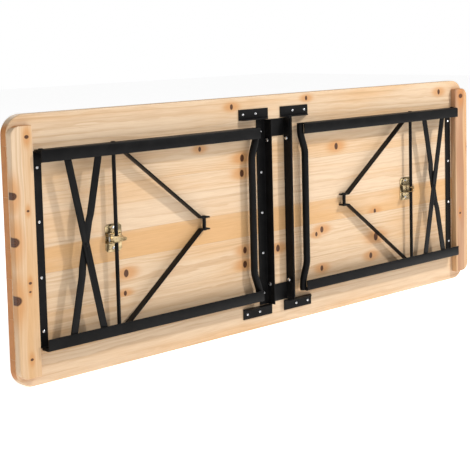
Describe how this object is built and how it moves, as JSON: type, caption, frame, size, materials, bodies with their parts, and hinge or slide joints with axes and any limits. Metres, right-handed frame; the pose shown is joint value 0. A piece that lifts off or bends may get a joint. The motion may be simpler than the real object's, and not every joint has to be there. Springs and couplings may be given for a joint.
{
  "type": "folding picnic table",
  "caption": "Long folding picnic table with glued wooden boards, fold-flat steel angle leg frames, V braces and sprung rod latches; rests on one long edge.",
  "frame": {"origin": "middle of the lower long edge's box, where the folded table stands", "axes": "+X along the table, +Y from the underside to the table top, +Z across the width, up as it stands on its edge"},
  "size_m": [1.77, 0.07, 0.66],
  "materials": {
    "wood": "clear satin varnish over pale softwood with knots",
    "heartwood": "clear satin varnish over orange heartwood",
    "black_steel": "black satin powder coat",
    "brass": "yellow zinc or brass plating, lightly scuffed",
    "zinc_steel": "bright zinc plating"
  },
  "bodies": {
    "tabletop": {"edge_board_upper": "wood", "board_1": "wood", "board_2": "wood", "board_3": "heartwood", "board_4": "wood", "board_5": "wood", "edge_board_lower": "wood", "end_batten_left": "wood", "end_batten_right": "wood", "tie_bracket_upper": "black_steel", "tie_bracket_lower": "black_steel", "hinge_rail_left": "black_steel", "centre_rail_left": "black_steel", "hinge_pin_upper_left": "black_steel", "hinge_pin_lower_left": "black_steel", "corner_tab_upper_left": "black_steel", "corner_tab_lower_left": "black_steel", "latch_plate_left": "brass", "rail_bolt_upper_left": "zinc_steel", "rail_bolt_lower_left": "zinc_steel", "latch_pin_left": "zinc_steel", "latch_spring_left": "zinc_steel", "latch_screw_upper_left": "zinc_steel", "latch_screw_lower_left": "zinc_steel", "hinge_rail_right": "black_steel", "centre_rail_right": "black_steel", "hinge_pin_upper_right": "black_steel", "hinge_pin_lower_right": "black_steel", "corner_tab_upper_right": "black_steel", "corner_tab_lower_right": "black_steel", "latch_plate_right": "brass", "rail_bolt_upper_right": "zinc_steel", "rail_bolt_lower_right": "zinc_steel", "latch_pin_right": "zinc_steel", "latch_spring_right": "zinc_steel", "latch_screw_upper_right": "zinc_steel", "latch_screw_lower_right": "zinc_steel"},
    "leg_frame_left": {"leg_upper_left": "black_steel", "leg_lower_left": "black_steel", "foot_crossbar_left": "black_steel", "cross_rod_left": "black_steel", "x_bar_outer_left": "black_steel", "x_bar_inner_left": "black_steel", "x_rivet_left": "black_steel"},
    "brace_left": {"brace_arm_upper_left": "black_steel", "brace_arm_lower_left": "black_steel", "brace_apex_pin_left": "black_steel"},
    "latch_lever_left": {"latch_lever_left": "brass"},
    "leg_frame_right": {"leg_upper_right": "black_steel", "leg_lower_right": "black_steel", "foot_crossbar_right": "black_steel", "cross_rod_right": "black_steel", "x_bar_outer_right": "black_steel", "x_bar_inner_right": "black_steel", "x_rivet_right": "black_steel"},
    "brace_right": {"brace_arm_upper_right": "black_steel", "brace_arm_lower_right": "black_steel", "brace_apex_pin_right": "black_steel"},
    "latch_lever_right": {"latch_lever_right": "brass"}
  },
  "joints": [
    {"name": "leg_fold_left", "type": "hinge", "parent": "tabletop", "child": "leg_frame_left", "pos_m": [-0.803, -0.012, 0.33], "axis": [0, 0, -1], "range_deg": [0, 90]},
    {"name": "brace_swing_left", "type": "hinge", "parent": "leg_frame_left", "child": "brace_left", "pos_m": [-0.587, -0.012, 0.33], "axis": [0, 0, -1], "range_deg": [-133, 0]},
    {"name": "latch_lift_left", "type": "hinge", "parent": "tabletop", "child": "latch_lever_left", "pos_m": [-0.601, -0.002, 0.33], "axis": [0, 0, -1], "range_deg": [0, 65], "stiffness_Nm_per_rad": 0.05},
    {"name": "leg_fold_right", "type": "hinge", "parent": "tabletop", "child": "leg_frame_right", "pos_m": [0.803, -0.012, 0.33], "axis": [0, 0, 1], "range_deg": [0, 90]},
    {"name": "brace_swing_right", "type": "hinge", "parent": "leg_frame_right", "child": "brace_right", "pos_m": [0.587, -0.012, 0.33], "axis": [0, 0, 1], "range_deg": [-133, 0]},
    {"name": "latch_lift_right", "type": "hinge", "parent": "tabletop", "child": "latch_lever_right", "pos_m": [0.601, -0.002, 0.33], "axis": [0, 0, 1], "range_deg": [0, 65], "stiffness_Nm_per_rad": 0.05}
  ],
  "couplings": [
    {"joint": "brace_swing_left", "follows": "leg_fold_left", "ratio": -1.4787},
    {"joint": "brace_swing_right", "follows": "leg_fold_right", "ratio": -1.4787}
  ]
}
